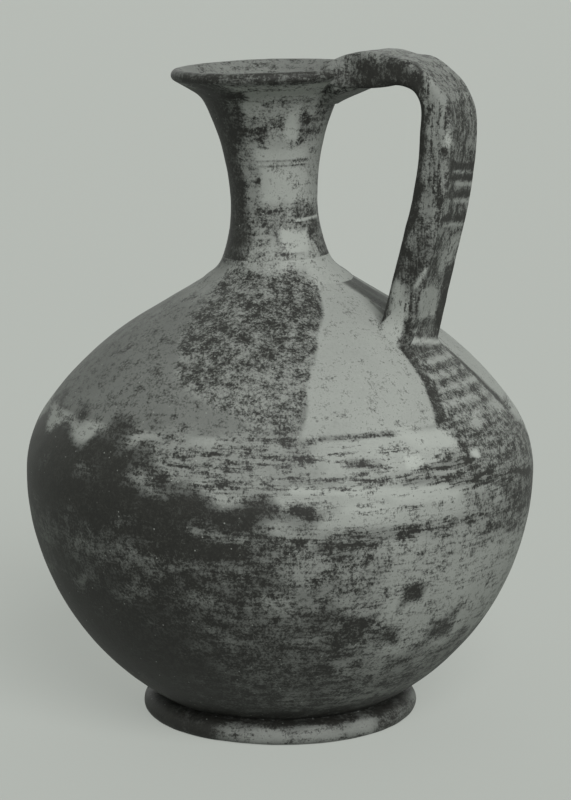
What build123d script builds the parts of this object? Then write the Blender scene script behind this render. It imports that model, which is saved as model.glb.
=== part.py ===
from build123d import *

import os
from math import asin, atan2, cos, degrees, hypot, pi, radians, sin, sqrt, tan

# A wheel-thrown clay jug: ring foot, round body in two halves, flared neck set slightly askew,
# and one strap handle from the rim to the shoulder, all luted together with wet clay.
# Millimetres, +Z up. The origin is on the body's axis, on the plane that the foot stands on.
# The handle lies along +X.

# Body: the outer skin is one meridian of tangent arcs, turned about the Z axis
belly_radius = 95.0
belly_height = 93.7
bowl_seat_radius = 45.6
haunch_arc_radius = 39.5
haunch_turn = 35.0
shoulder_arc_radius = 124.0
shoulder_slope = 31.6
body_wall = 5.5
floor_thickness = 6.5

# Foot ring, on the underside of the bowl
foot_height = 8.0
foot_projection = 6.3
foot_undercut = 2.1
foot_bearing_width = 11.8
foot_swell_height = 3.2
foot_edge_radius = 1.2
foot_recess = 3.5

# Neck and lip: the axis leans about a point below the peak of the shoulder's cone
neck_lean = 1.8
neck_lean_direction = 210.0
neck_pivot_depth = 58.4
neck_wall = 4.4
throat_radius = 16.1
throat_rise = 10.6
throat_upper_arc = 86.0
throat_lower_arc = 57.0
flare_rise = 36.6
flare_arc_radius = 11.0
lip_slope = 32.0
lip_run = 8.1
coil_fillet_radius = 12.0
coil_depth = 1.6

# Handle: a strap along arcs in the XZ plane, level with the lip at its top and set in from the belly
handle_inset = 26.0
handle_rise = 1.0
bend_radius = 19.5
arm_rise = 7.0
lip_to_arm = 5.0
drop_arc_radius = 140.0
drop_lean = 14.5
strap_width = 23.0
strap_thickness = 11.8
strap_side_flat = 2.0
bend_thinning = 2.5
root_width = 26.0
root_thickness = 13.6
strap_stations = 16
nose_length = 7.5
nose_dip = 11.0
tip_length = 5.7
tip_dip = 32.0
tip_width = 14.0
tip_thickness = 6.0
tip_side_flat = 0.6

# Luting at the handle's ends
pad_width = 19.0
pad_edge_radius = 2.5
pad_length = 18.0
pad_bed = 0.8
pad_bite = 1.5
pad_drop = 1.2
pad_hollow = 2.2
collar_arc_radius = 20.5
collar_height = 11.0
collar_bed = 2.6
collar_edge = 0.4

# Overrun of a tool past the face that it cuts
overrun = 3.0


def point(radius, height):
    """A point of the XZ plane."""
    return (radius, 0, height)


def ahead(start, heading, distance):
    """The XZ-plane point at a distance from a start, at a heading in degrees above +X."""
    return point(start[0] + distance * cos(radians(heading)), start[2] + distance * sin(radians(heading)))


def arc(centre, radius, start, end):
    """An arc of an XZ-plane circle between two angles in degrees from +X towards +Z."""
    middle = (start + end) / 2
    return ThreePointArc(
        ahead(centre, start, radius), ahead(centre, middle, radius), ahead(centre, end, radius)
    )


def turned(edges):
    """The solid that a closed outline in the XZ plane makes about the Z axis."""
    return revolve(make_face(edges), axis=Axis.Z)


# The lower arc is upright at the girth and passes through the bowl's seat on the foot ring
seat_inset = belly_radius - bowl_seat_radius
seat_drop = belly_height - foot_height
lower_arc_radius = (seat_inset**2 + seat_drop**2) / (2 * seat_inset)
lower_centre = point(belly_radius - lower_arc_radius, belly_height)
haunch_centre = point(belly_radius - haunch_arc_radius, belly_height)
shoulder_centre = ahead(haunch_centre, haunch_turn, haunch_arc_radius - shoulder_arc_radius)
shoulder_turn = 90.0 - shoulder_slope


def shoulder_height(radius, inset=0.0):
    """Height of the straight upper shoulder at a radius, on the skin or set in by a wall."""
    start = ahead(shoulder_centre, shoulder_turn, shoulder_arc_radius - inset)
    return start[2] + (start[0] - radius) * tan(radians(shoulder_slope))


def lower_turn(height, inset):
    """The lower arc's angle at a height, in degrees below the girth."""
    return degrees(asin((belly_height - height) / (lower_arc_radius - inset)))


def bowl(bottom, inset):
    """The filled lower half of a skin, from a flat bottom up to the girth."""
    side = arc(lower_centre, lower_arc_radius - inset, -lower_turn(bottom, inset), 0)
    return turned([
        Line(point(0, bottom), side @ 0),
        side,
        Line(side @ 1, point(0, belly_height)),
        Line(point(0, belly_height), point(0, bottom)),
    ])


def dome(inset):
    """The filled upper half of a skin, from the girth up to a peak on the axis."""
    haunch = arc(haunch_centre, haunch_arc_radius - inset, 0, haunch_turn)
    shoulder = arc(shoulder_centre, shoulder_arc_radius - inset, haunch_turn, shoulder_turn)
    peak = point(0, shoulder_height(0, inset))
    return turned([
        haunch,
        shoulder,
        Line(shoulder @ 1, peak),
        Line(peak, point(0, belly_height)),
        Line(point(0, belly_height), haunch @ 0),
    ])


body_dome = dome(0)
body_bowl = bowl(foot_recess, 0)


def make_lower_body():
    return body_bowl - bowl(foot_recess + floor_thickness, body_wall)


def make_foot_ring():
    """A ring with a swollen outer side, seated on the bowl's underside."""
    foot_radius = bowl_seat_radius + foot_projection
    base_radius = foot_radius - foot_undercut
    inner_radius = base_radius - foot_bearing_width
    top = foot_height + overrun
    swell = point(foot_radius, foot_swell_height)
    crest = point(bowl_seat_radius, foot_height)
    half = sin(radians(45))
    below = point(base_radius + foot_undercut * half, foot_swell_height * (1 - half))
    rise = foot_height - foot_swell_height
    above = point(bowl_seat_radius + foot_projection * half, foot_swell_height + rise * half)
    blank = turned([
        Line(point(inner_radius, 0), point(base_radius, 0)),
        ThreePointArc(point(base_radius, 0), below, swell),
        ThreePointArc(swell, above, crest),
        Line(crest, point(bowl_seat_radius, top)),
        Line(point(bowl_seat_radius, top), point(inner_radius, top)),
        Line(point(inner_radius, top), point(inner_radius, 0)),
    ])
    ring = blank - body_bowl
    base_edges = ring.faces().sort_by(Axis.Z)[0].edges()
    return fillet(base_edges, foot_edge_radius)


# The neck's own frame: its local Z is the leaning axis, with heights counted from the pivot
neck_pivot_height = shoulder_height(0) - neck_pivot_depth
lean = radians(neck_lean)
direction = radians(neck_lean_direction)
neck_frame = Plane(
    origin=(0, 0, neck_pivot_height),
    z_dir=(sin(lean) * cos(direction), sin(lean) * sin(direction), cos(lean)),
)
throat_z = neck_pivot_depth + throat_rise
upper_centre = point(throat_radius + throat_upper_arc, throat_z)
base_centre = point(throat_radius + throat_lower_arc, throat_z)
flare_entry = degrees(asin(flare_rise / throat_upper_arc))
flare_centre = ahead(upper_centre, 180 - flare_entry, throat_upper_arc - flare_arc_radius)
flare_exit = 90.0 - lip_slope

# The lip: a straight flare with a half-round edge
flare_start = ahead(flare_centre, 180 - flare_entry, flare_arc_radius)
flare_end = ahead(flare_centre, 180 - flare_exit, flare_arc_radius)
lip_under = ahead(flare_end, lip_slope, lip_run)
lip_crest = ahead(lip_under, lip_slope + 90, neck_wall)
lip_edge = ahead(ahead(lip_under, lip_slope + 90, neck_wall / 2), lip_slope, neck_wall / 2)

# The coil's hollow face is a fillet between the neck's lower arc and the shoulder's cone
cone_slope = tan(radians(shoulder_slope))
fillet_reach = throat_lower_arc - coil_fillet_radius
fillet_peak = neck_pivot_depth + coil_fillet_radius / cos(radians(shoulder_slope))
fillet_rise = fillet_peak - base_centre[2] - cone_slope * base_centre[0]
fillet_root = sqrt(fillet_reach**2 * (1 + cone_slope**2) - fillet_rise**2)
fillet_x = base_centre[0] + (cone_slope * fillet_rise - fillet_root) / (1 + cone_slope**2)
fillet_centre = point(fillet_x, fillet_peak - cone_slope * fillet_x)
coil_top_turn = degrees(asin((base_centre[2] - fillet_centre[2]) / fillet_reach))
neck_foot = ahead(base_centre, 180 + coil_top_turn, throat_lower_arc)
coil_seat_radius = neck_foot[0] - coil_depth


def neck_arcs(inset):
    """The neck's outline, set in by its wall: lower arc, upper arc and flare."""
    lower = arc(base_centre, throat_lower_arc + inset, 180 + coil_top_turn, 180)
    upper = arc(upper_centre, throat_upper_arc + inset, 180, 180 - flare_entry)
    flare = arc(flare_centre, flare_arc_radius + inset, 180 - flare_entry, 180 - flare_exit)
    return lower, upper, flare


def neck_tools():
    """The neck's outside, filled and with its round lip, and the bore that runs through it."""
    sunk = neck_pivot_depth - 2 * coil_seat_radius
    lower, upper, flare = neck_arcs(0)
    outside = turned([
        Line(point(0, sunk), point(coil_seat_radius, sunk)),
        Line(point(coil_seat_radius, sunk), point(coil_seat_radius, neck_foot[2])),
        Line(point(coil_seat_radius, neck_foot[2]), neck_foot),
        lower,
        upper,
        flare,
        Line(flare_end, lip_under),
        ThreePointArc(lip_under, lip_edge, lip_crest),
        Line(lip_crest, point(0, lip_crest[2])),
        Line(point(0, lip_crest[2]), point(0, sunk)),
    ])
    lower, upper, flare = neck_arcs(neck_wall)
    bore_foot = lower @ 0
    mouth = ahead(lip_crest, lip_slope, overrun)
    bore = turned([
        Line(point(0, sunk), point(bore_foot.X, sunk)),
        Line(point(bore_foot.X, sunk), bore_foot),
        lower,
        upper,
        flare,
        Line(flare @ 1, mouth),
        Line(mouth, point(0, mouth[2])),
        Line(point(0, mouth[2]), point(0, sunk)),
    ])
    return neck_frame.location * outside, neck_frame.location * bore


neck_outside, neck_bore = neck_tools()
neck = neck_outside - neck_bore - body_dome


def make_upper_body():
    return body_dome - dome(body_wall) - neck_bore


def make_neck_luting_coil():
    """The coil in the corner of neck and shoulder, with a hollow outer face."""
    face = arc(fillet_centre, coil_fillet_radius, 180 + coil_top_turn, 270 - shoulder_slope)
    toe = face @ 1
    sunk = toe.Z - 2 * overrun
    ring = turned([
        face,
        Line(toe, point(toe.X, sunk)),
        Line(point(toe.X, sunk), point(coil_seat_radius, sunk)),
        Line(point(coil_seat_radius, sunk), point(coil_seat_radius, neck_foot[2])),
        Line(point(coil_seat_radius, neck_foot[2]), neck_foot),
    ])
    return neck_frame.location * ring - body_dome


def leaned(spot):
    """Where a point of the neck's outline lies on the handle's side of the leaning neck."""
    tilt = lean * cos(direction)
    return point(
        spot[0] * cos(tilt) + spot[2] * sin(tilt),
        neck_pivot_height + spot[2] * cos(tilt) - spot[0] * sin(tilt),
    )


# The handle's line: an arm off the lip, a bend, a long drop that leans inwards, and the root in the shoulder
lip_at_handle = leaned(lip_crest)
handle_reach = belly_radius - handle_inset
bend_centre = point(handle_reach - bend_radius, lip_at_handle[2] + handle_rise - bend_radius)
drop_centre = point(handle_reach - drop_arc_radius, bend_centre[2])
drop_heading = -90.0 - drop_lean
arm_end = ahead(bend_centre, 90 + arm_rise, bend_radius)
arm_length = (arm_end[0] - lip_at_handle[0] - lip_to_arm) / cos(radians(arm_rise))
arm_start = ahead(arm_end, 180 + arm_rise, arm_length)
drop_end = ahead(drop_centre, -drop_lean, drop_arc_radius)


def straight_drop():
    """How far below the drop arc the strap's line meets the shoulder arc."""
    offset = (shoulder_centre[0] - drop_end[0], shoulder_centre[2] - drop_end[2])
    along = offset[0] * cos(radians(drop_heading)) + offset[1] * sin(radians(drop_heading))
    miss = hypot(offset[0], offset[1]) ** 2 - along**2
    return along - sqrt(shoulder_arc_radius**2 - miss)


handle_root = ahead(drop_end, drop_heading, straight_drop())


def strap_section(centre, heading, width, thickness, side_flat):
    """A round-edged section of the strap, square to a heading of its line."""
    plane = Plane(
        origin=centre, x_dir=(0, 1, 0), z_dir=(cos(radians(heading)), 0, sin(radians(heading)))
    )
    return plane * RectangleRounded(width, thickness, (thickness - side_flat) / 2)


def strap_at(line, share):
    """The strap's section at a share of its line: widest at the root, and drawn thin round the bend."""
    bend_length = bend_radius * radians(90 + arm_rise)
    turn = (share * line.length - arm_length) / bend_length
    pinch = sin(pi * min(max(turn, 0), 1)) ** 2
    along = line % share
    return strap_section(
        tuple(line @ share),
        degrees(atan2(along.Z, along.X)),
        strap_width + share * (root_width - strap_width),
        strap_thickness + share * (root_thickness - strap_thickness) - pinch * bend_thinning,
        strap_side_flat,
    )


def make_handle_blank():
    """The strap, swept along its line, with a nose that dips over the lip into the mouth."""
    line = Wire([
        Line(arm_start, arm_end),
        arc(bend_centre, bend_radius, 90 + arm_rise, 0),
        arc(drop_centre, drop_arc_radius, 0, -drop_lean),
        Line(drop_end, ahead(handle_root, drop_heading, root_thickness)),
    ])
    sections = [strap_at(line, station / strap_stations) for station in range(strap_stations + 1)]
    nose = ahead(arm_start, 180 + nose_dip, nose_length)
    tip = ahead(nose, 180 + (nose_dip + tip_dip) / 2, tip_length)
    end = loft([
        sections[0],
        strap_section(nose, nose_dip, strap_width, strap_thickness, strap_side_flat),
        strap_section(tip, tip_dip, tip_width, tip_thickness, tip_side_flat),
    ])
    return sweep(sections, path=line, multisection=True) + end


handle_blank = make_handle_blank()


def make_handle():
    return handle_blank - body_dome - neck


def make_handle_root_luting():
    """A collar smeared round the strap's lower end, hollow like a fillet and bedded on the shoulder."""
    rise = degrees(asin((handle_root[2] - shoulder_centre[2]) / shoulder_arc_radius))
    lay = rise - 180 - drop_heading
    sections = []
    for share in (0, 0.4, 0.75, 1, 1 + collar_bed / collar_height):
        depth = share * collar_height
        growth = collar_edge + collar_arc_radius - sqrt(collar_arc_radius**2 - depth**2)
        turn = share * lay
        sections.append(strap_section(
            ahead(handle_root, drop_heading, depth - collar_height),
            drop_heading + turn,
            root_width + 2 * growth,
            (root_thickness + 2 * growth) / cos(radians(turn)),
            strap_side_flat,
        ))
    return loft(sections) - handle_blank - body_dome


def make_handle_top_luting():
    """A pad under the lip, hollow below, between the neck's flare and the strap's underside."""
    axis_end = ahead(arm_start, arm_rise, pad_length)
    out = ahead(axis_end, arm_rise - 90, strap_thickness / 2 - pad_bed)
    flare_root = leaned(flare_start)
    low = point(flare_root[0] - pad_bite, flare_root[2] - pad_drop)
    back = point(low[0], flare_root[2] + strap_thickness / 2)
    middle = point((low[0] + out[0]) / 2, (low[2] + out[2]) / 2 + pad_hollow)
    side = make_face([
        ThreePointArc(low, middle, out),
        Line(out, arm_end),
        Line(arm_end, back),
        Line(back, low),
    ])
    pad = extrude(side, amount=pad_width / 2, dir=(0, 1, 0), both=True)
    pad = fillet(pad.edges().filter_by(GeomType.CIRCLE), pad_edge_radius)
    return pad - neck_outside - handle_blank


nodes = {
    "foot_ring": make_foot_ring(),
    "lower_body": make_lower_body(),
    "upper_body": make_upper_body(),
    "neck": neck,
    "neck_luting_coil": make_neck_luting_coil(),
    "handle": make_handle(),
    "handle_root_luting": make_handle_root_luting(),
    "handle_top_luting": make_handle_top_luting(),
}
os.makedirs("parts", exist_ok=True)
for name, solid in nodes.items():
    export_step(solid, f"parts/{name}.step")
    print(name, len(solid.solids()), round(solid.volume, 1))
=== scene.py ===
from math import asin, ceil, cos, degrees, exp, pi, radians, sin, sqrt, tan

import bpy
import numpy as np
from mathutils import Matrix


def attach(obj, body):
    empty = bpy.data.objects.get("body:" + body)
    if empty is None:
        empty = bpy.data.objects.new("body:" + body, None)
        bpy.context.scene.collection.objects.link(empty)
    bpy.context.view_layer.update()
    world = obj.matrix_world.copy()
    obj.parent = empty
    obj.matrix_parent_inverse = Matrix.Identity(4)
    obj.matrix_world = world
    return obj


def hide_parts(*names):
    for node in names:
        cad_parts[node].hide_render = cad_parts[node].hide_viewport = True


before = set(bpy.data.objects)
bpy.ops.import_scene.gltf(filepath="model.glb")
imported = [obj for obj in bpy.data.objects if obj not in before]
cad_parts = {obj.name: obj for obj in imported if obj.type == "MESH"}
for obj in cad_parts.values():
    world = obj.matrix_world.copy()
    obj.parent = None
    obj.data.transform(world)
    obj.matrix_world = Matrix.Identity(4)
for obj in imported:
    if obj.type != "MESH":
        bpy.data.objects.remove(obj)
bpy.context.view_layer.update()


# Foot ring: a low ring of clay, thrown on the wheel and stuck under the bowl with wet clay.
# Its swollen outer side carries the jug, and the dark slip on it is rubbed through in front.
# Its top, in the crease under the belly, is darker: partly slip, partly painted shade.
MM = 0.001
same_point = 0.05
weld_distance = 0.02
skin_spacing = 1.15
body_steps = 512
bowl_seat_radius = 45.6
foot_height = 8.0
foot_projection = 6.3
foot_undercut = 2.1
foot_bearing_width = 11.8
foot_swell_height = 3.2
foot_edge_radius = 1.2
foot_bedding = 0.8
foot_inside_height = 5.0
foot_arc_step = 6
even_drag = 0.3


def arc(centre, radius, start, end, spacing=skin_spacing):
    """Points of an outline's arc, as (radius, height), between two angles in degrees above the level."""
    count = max(2, ceil(radius * abs(radians(end - start)) / spacing))
    angles = [radians(start + (end - start) * i / count) for i in range(count + 1)]
    return [(centre[0] + radius * cos(a), centre[1] + radius * sin(a)) for a in angles]


def straight(start, end, spacing=skin_spacing):
    """Points of an outline's straight run."""
    count = max(1, ceil(np.hypot(end[0] - start[0], end[1] - start[1]) / spacing))
    return [
        (start[0] + (end[0] - start[0]) * i / count, start[1] + (end[1] - start[1]) * i / count)
        for i in range(count + 1)
    ]


def outline(*runs):
    """One line of points out of runs that follow each other."""
    points = []
    for run in runs:
        end = points[-1] if points else (np.inf, np.inf)
        points += [p for p in run if np.hypot(p[0] - end[0], p[1] - end[1]) > same_point]
    return points


def throw(name, wall, steps=body_steps):
    """Draws a wall's outline point by point and turns it once round, as on the wheel."""
    bpy.ops.mesh.primitive_plane_add(size=MM)
    piece = bpy.context.object
    piece.name = piece.data.name = name
    bpy.ops.object.mode_set(mode="EDIT")
    bpy.ops.mesh.select_mode(type="VERT")
    bpy.ops.mesh.select_all(action="SELECT")
    bpy.ops.mesh.merge(type="CENTER")
    bpy.ops.transform.translate(value=(wall[0][0] * MM, 0, wall[0][1] * MM))
    for here, there in zip(wall, wall[1:]):
        step = ((there[0] - here[0]) * MM, 0, (there[1] - here[1]) * MM)
        bpy.ops.mesh.extrude_region_move(TRANSFORM_OT_translate={"value": step})
    bpy.ops.object.mode_set(mode="OBJECT")
    wheel = piece.modifiers.new("wheel", "SCREW")
    wheel.axis = "Z"
    wheel.angle = 2 * pi
    wheel.steps = wheel.render_steps = steps
    wheel.use_merge_vertices = True
    wheel.merge_threshold = weld_distance * MM
    bpy.ops.object.modifier_apply(modifier=wheel.name)
    bpy.ops.object.mode_set(mode="EDIT")
    bpy.ops.mesh.select_all(action="SELECT")
    bpy.ops.mesh.remove_doubles(threshold=weld_distance * MM)
    bpy.ops.mesh.normals_make_consistent(inside=False)
    bpy.ops.object.mode_set(mode="OBJECT")
    bpy.ops.object.shade_smooth()
    return piece


def handle_wet(piece, size, depth, keep=0.8):
    """Presses shallow dents into a piece, as fingers leave in wet clay."""
    dents = bpy.data.textures.new(f"{piece.name}_dents_{size}", "CLOUDS")
    dents.noise_scale = size * MM
    dents.noise_depth = 1
    press = piece.modifiers.new("press", "DISPLACE")
    press.texture = dents
    press.texture_coords = "LOCAL"
    press.strength = depth * MM
    press.mid_level = keep
    bpy.context.view_layer.objects.active = piece
    bpy.ops.object.modifier_apply(modifier=press.name)


def vectors_of(items, name):
    """One vector of each item of a mesh, such as its points' places, in a row each."""
    vectors = np.zeros(len(items) * 3, np.float32)
    items.foreach_get(name, vectors)
    return vectors.reshape(-1, 3)


def spots_of(piece):
    """A piece's points in mm, one row each for X, Y and Z."""
    return vectors_of(piece.data.vertices, "co").T.astype(float) / MM


def bare_skin(turn, height, mm_per_degree, cover, soot):
    """A skin to brush on: each point's turn in degrees and height in mm, with even first layers."""
    layers = {"cover": cover, "soot": soot, "drag": even_drag}
    skin = {name: np.full(len(turn), value, float) for name, value in layers.items()}
    return skin | {"turn": turn, "height": height, "mm_per_degree": mm_per_degree}


def thrown_skin(piece, cover, soot, inside):
    """The skin of a turned piece, with the layers of the inside for its points that look inwards."""
    x, y, z = spots_of(piece)
    facing = vectors_of(piece.data.vertex_normals, "vector")
    inner = facing[:, 0] * x + facing[:, 1] * y < 0
    skin = bare_skin(np.degrees(np.arctan2(y, x)), z, radians(np.hypot(x, y)[~inner].mean()), cover, soot)
    return skin | {"inner": inner, "inside": inside}


def folded(skin):
    """The same skin with its far side laid on the near one, so that one brushing dresses both."""
    return skin | {"turn": -np.abs(skin["turn"])}


def gap(skin, start, end):
    """Each point's distance in mm from a straight run between two places on the skin."""
    scale = skin["mm_per_degree"]
    run = np.array([(end[0] - start[0]) * scale, end[1] - start[1]])
    off = np.stack([(skin["turn"] - start[0]) * scale, skin["height"] - start[1]])
    share = np.clip((run @ off) / max(run @ run, 1e-9), 0, 1)
    return np.hypot(off[0] - share * run[0], off[1] - share * run[1])


def lay(skin, where, cover, soot, drag):
    """Brushes a layer on a skin: the share of slip left, the clay's soot and the streaks of the brush."""
    for name, value in (("cover", cover), ("soot", soot), ("drag", drag)):
        skin[name] += where * (value - skin[name])


def belt(skin, low, high, soft, *layer):
    """Lays a belt right round the piece, with soft edges."""
    depth = np.minimum(skin["height"] - low, high - skin["height"])
    lay(skin, np.clip(0.5 + depth / soft, 0, 1), *layer)


def area(skin, corners, soft, *layer):
    """Lays a patch with its corners as (turn, height) and a soft edge that wavers."""
    inside = np.zeros(len(skin["turn"]), bool)
    nearest = np.full(len(inside), np.inf)
    for start, end in zip(corners, corners[1:] + corners[:1]):
        nearest = np.minimum(nearest, gap(skin, start, end))
        if start[1] != end[1]:
            between = (start[1] > skin["height"]) != (end[1] > skin["height"])
            edge = start[0] + (skin["height"] - start[1]) * (end[0] - start[0]) / (end[1] - start[1])
            inside ^= between & (skin["turn"] < edge)
    u, v = skin["turn"] * skin["mm_per_degree"], skin["height"]
    waver = np.sin(0.31 * u + 0.9 * np.sin(0.23 * v)) + np.sin(0.47 * v + 1.1 * np.sin(0.37 * u))
    lay(skin, np.clip(0.5 + np.where(inside, nearest, -nearest) / soft + 0.25 * waver, 0, 1), *layer)


def stroke(skin, route, width, soft, *layer):
    """Lays a stroke of the brush along a route of (turn, height)."""
    nearest = np.min([gap(skin, start, end) for start, end in zip(route, route[1:])], axis=0)
    lay(skin, np.clip(0.5 + (width / 2 - nearest) / soft, 0, 1), *layer)


def brush_areas(skin, patches):
    """Lays patches one after the other: each has corners, softness, cover, soot and drag."""
    for patch in patches:
        area(skin, *patch)


def record_wear(piece, skin):
    """Keeps a piece's slip and wear on its points, for its material to read."""
    for name in ("cover", "soot", "drag"):
        values = skin[name]
        if "inner" in skin:
            values = np.where(skin["inner"], skin["inside"][name], values)
        layer = piece.data.attributes.new(name, "FLOAT", "POINT")
        layer.data.foreach_set("value", np.ascontiguousarray(values, np.float32))


def add_node(material, kind, sockets, **settings):
    """A node of a material, with each socket set or linked."""
    node = material.node_tree.nodes.new(kind)
    for name, value in settings.items():
        setattr(node, name, value)
    for name, value in sockets.items():
        if isinstance(value, bpy.types.NodeSocket):
            material.node_tree.links.new(value, node.inputs[name])
        else:
            node.inputs[name].default_value = value
    return node


def reckon(material, operation, *values):
    """A reckoning with sockets or numbers, as a socket."""
    return add_node(material, "ShaderNodeMath", dict(enumerate(values)), operation=operation).outputs[0]


def sum_of(material, *terms):
    """Adds up sockets, each times its weight; a bare number is added as it is."""
    total = 0.0
    for term in terms:
        if not isinstance(term, tuple):
            term = (term, 1.0)
        total = reckon(material, "MULTIPLY_ADD", *term, total)
    return total


def fade(material, value, low, high, bottom=0.0, top=1.0):
    """Turns a socket's values from low to high into a smooth step from bottom to top."""
    sockets = {"Value": value, "From Min": low, "From Max": high, "To Min": bottom, "To Max": top}
    return add_node(material, "ShaderNodeMapRange", sockets, interpolation_type="SMOOTHSTEP").outputs[0]


def shades(material, value, colour, stops):
    """A ramp of one colour, with a brightness at each place."""
    node = add_node(material, "ShaderNodeValToRGB", {"Fac": value})
    ramp = node.color_ramp
    ramp.elements.remove(ramp.elements[1])
    ramp.elements[0].position = stops[0][0]
    for place, _ in stops[1:]:
        ramp.elements.new(place)
    for element, (_, brightness) in zip(ramp.elements, stops):
        element.color = (*[channel * brightness for channel in colour], 1)
    return node.outputs["Color"]


def blend_colours(material, share, under, over):
    """One colour over another, by a share."""
    sockets = {"Factor": share, 6: under, 7: over}
    return add_node(material, "ShaderNodeMix", sockets, data_type="RGBA").outputs[2]


def worn_slip(name, brush_stretch):
    """Pale fired clay under a dark slip that has flaked and rubbed off, with lime specks and pits.
    The slip lies where a piece's cover beats the wear, and soot darkens the clay that shows between."""
    material = bpy.data.materials.new(name)
    material.use_nodes = True
    shader = material.node_tree.nodes["Principled BSDF"]
    spot = add_node(material, "ShaderNodeTexCoord", {}).outputs["Object"]
    cover, soot, drag = [
        add_node(material, "ShaderNodeAttribute", {}, attribute_name=layer).outputs["Fac"]
        for layer in ("cover", "soot", "drag")
    ]

    def mottle(size, detail, rough, stretch=(1, 1, 1)):
        drawn = add_node(material, "ShaderNodeMapping", {"Vector": spot, "Scale": stretch}).outputs[0]
        sockets = {"Vector": drawn, "Scale": 1 / (size * MM), "Detail": detail, "Roughness": rough}
        return add_node(material, "ShaderNodeTexNoise", sockets).outputs["Fac"]

    grain = mottle(0.45, 2, 0.6)
    flakes = mottle(1.0, 4, 0.7)
    clusters = mottle(4.5, 4, 0.65)
    cloud = mottle(26.0, 3, 0.5)
    streaks = mottle(1.5, 4, 0.65, brush_stretch)

    lift = sum_of(material, streaks, -0.5)
    streaky = reckon(material, "MULTIPLY", lift, drag)
    worn = sum_of(material, (flakes, 0.45), (clusters, 0.4), (grain, 0.15), (streaky, 0.8), -0.5)
    beat = sum_of(material, cover, (worn, -0.5 / wear_spread), -0.5)
    slip_on = fade(material, beat, -slip_edge, slip_edge)

    film = sum_of(
        material, (soot, 0.667), (flakes, 0.22), (clusters, 0.22), (cloud, 0.14), (streaky, 0.35), 0.043
    )
    bare = shades(material, film, grey_clay, [(0.0, 1.28), (0.333, 1.0), (0.64, 0.44), (1.0, 0.15)])
    thin = sum_of(material, (flakes, 0.5), (clusters, 0.3), (grain, 0.2))
    coat = shades(material, thin, dark_slip, [(0.36, 0.6), (0.5, 1.0), (0.66, 2.2)])
    colour = blend_colours(material, slip_on, bare, coat)

    cells = add_node(material, "ShaderNodeTexVoronoi", {"Vector": spot, "Scale": 1 / (speck_spacing * MM)})
    drawn = add_node(material, "ShaderNodeSeparateColor", {"Color": cells.outputs["Color"]})
    near = fade(material, cells.outputs["Distance"], speck_core, speck_rim, 1.0, 0.0)
    for channel, shade in (("Red", lime), ("Green", pit_soot)):
        chosen = fade(material, drawn.outputs[channel], speck_rarity, speck_rarity + 0.02)
        speck = sum_of(material, (reckon(material, "MULTIPLY", near, chosen), speck_strength))
        colour = blend_colours(material, speck, colour, (*shade, 1))

    gloss = fade(material, slip_on, 0.0, 1.0, clay_roughness, slip_roughness)
    relief = sum_of(material, (flakes, 0.55), (grain, 0.25), (slip_on, 0.22), (clusters, 0.4))
    sockets = {"Height": relief, "Strength": relief_strength, "Distance": relief_depth * MM}
    bump = add_node(material, "ShaderNodeBump", sockets)
    shader.inputs["Specular IOR Level"].default_value = clay_gloss
    material.node_tree.links.new(colour, shader.inputs["Base Color"])
    material.node_tree.links.new(gloss, shader.inputs["Roughness"])
    material.node_tree.links.new(bump.outputs[0], shader.inputs["Normal"])
    return material


def dress(piece, material, node):
    """Gives a piece its surface, and puts it in the place of the part's own solid."""
    piece.data.materials.clear()
    piece.data.materials.append(material)
    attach(piece, "root")
    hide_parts(node)


wear_spread = 0.115
slip_edge = 0.38
clay_roughness = 0.86
slip_roughness = 0.62
clay_gloss = 0.35
relief_strength = 0.4
relief_depth = 0.4
speck_spacing = 2.5
speck_core = 0.07
speck_rim = 0.15
speck_rarity = 0.74
speck_strength = 0.6
grey_clay = (0.375, 0.395, 0.365)
dark_slip = (0.018, 0.018, 0.0155)
lime = (0.42, 0.44, 0.41)
pit_soot = (0.03, 0.03, 0.027)
turning_streaks = (0.12, 0.12, 1.0)
# The inner faces of turned pieces are laid darker than their outsides, with more slip and soot.
darker_inside = {"cover": 0.35, "soot": 0.6, "drag": 0.5}

foot_radius = bowl_seat_radius + foot_projection
foot_base_radius = foot_radius - foot_undercut
foot_inner_radius = foot_base_radius - foot_bearing_width
foot_rise = foot_height - foot_swell_height
foot_side = [
    (foot_base_radius + foot_undercut * cos(radians(a)), foot_swell_height * (1 + sin(radians(a))))
    for a in range(-66, 0, foot_arc_step)
] + [
    (bowl_seat_radius + foot_projection * cos(radians(a)), foot_swell_height + foot_rise * sin(radians(a)))
    for a in range(0, 91, foot_arc_step)
]
foot_wall = outline(
    arc((foot_inner_radius + foot_edge_radius, foot_edge_radius), foot_edge_radius, 180, 270, 0.4),
    straight((foot_inner_radius + foot_edge_radius, 0), (foot_base_radius - foot_edge_radius, 0)),
    foot_side,
    [(bowl_seat_radius, foot_height), (bowl_seat_radius - foot_bedding, foot_height + foot_bedding)],
    straight((bowl_seat_radius - foot_bedding, foot_height), (foot_inner_radius, foot_inside_height)),
    straight((foot_inner_radius, foot_inside_height), (foot_inner_radius, foot_edge_radius)),
)
foot = throw("foot_turned", foot_wall)
handle_wet(foot, size=14, depth=0.5)
skin = thrown_skin(foot, 0.46, 0.5, darker_inside)
brush_areas(folded(skin), [
    ([(-181, -1), (-92, -1), (-86, 9), (-181, 9)], 12, 1.1, 1.0, 0.4),
    ([(-84, 1), (-20, 1), (-16, 7), (-84, 7)], 6, 0.22, 0.32, 0.5),
    ([(-14, -1), (1, -1), (1, 9), (-14, 9)], 6, 0.72, 0.4, 0.4),
])
# Partly dark slip, partly painted shade: the foot's top, in the crease under the belly, is laid darker.
belt(skin, 6.9, 12, 1.5, 0.85, 0.7, 0.5)
record_wear(foot, skin)
dress(foot, worn_slip("foot_slip", turning_streaks), "foot_ring")
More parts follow.
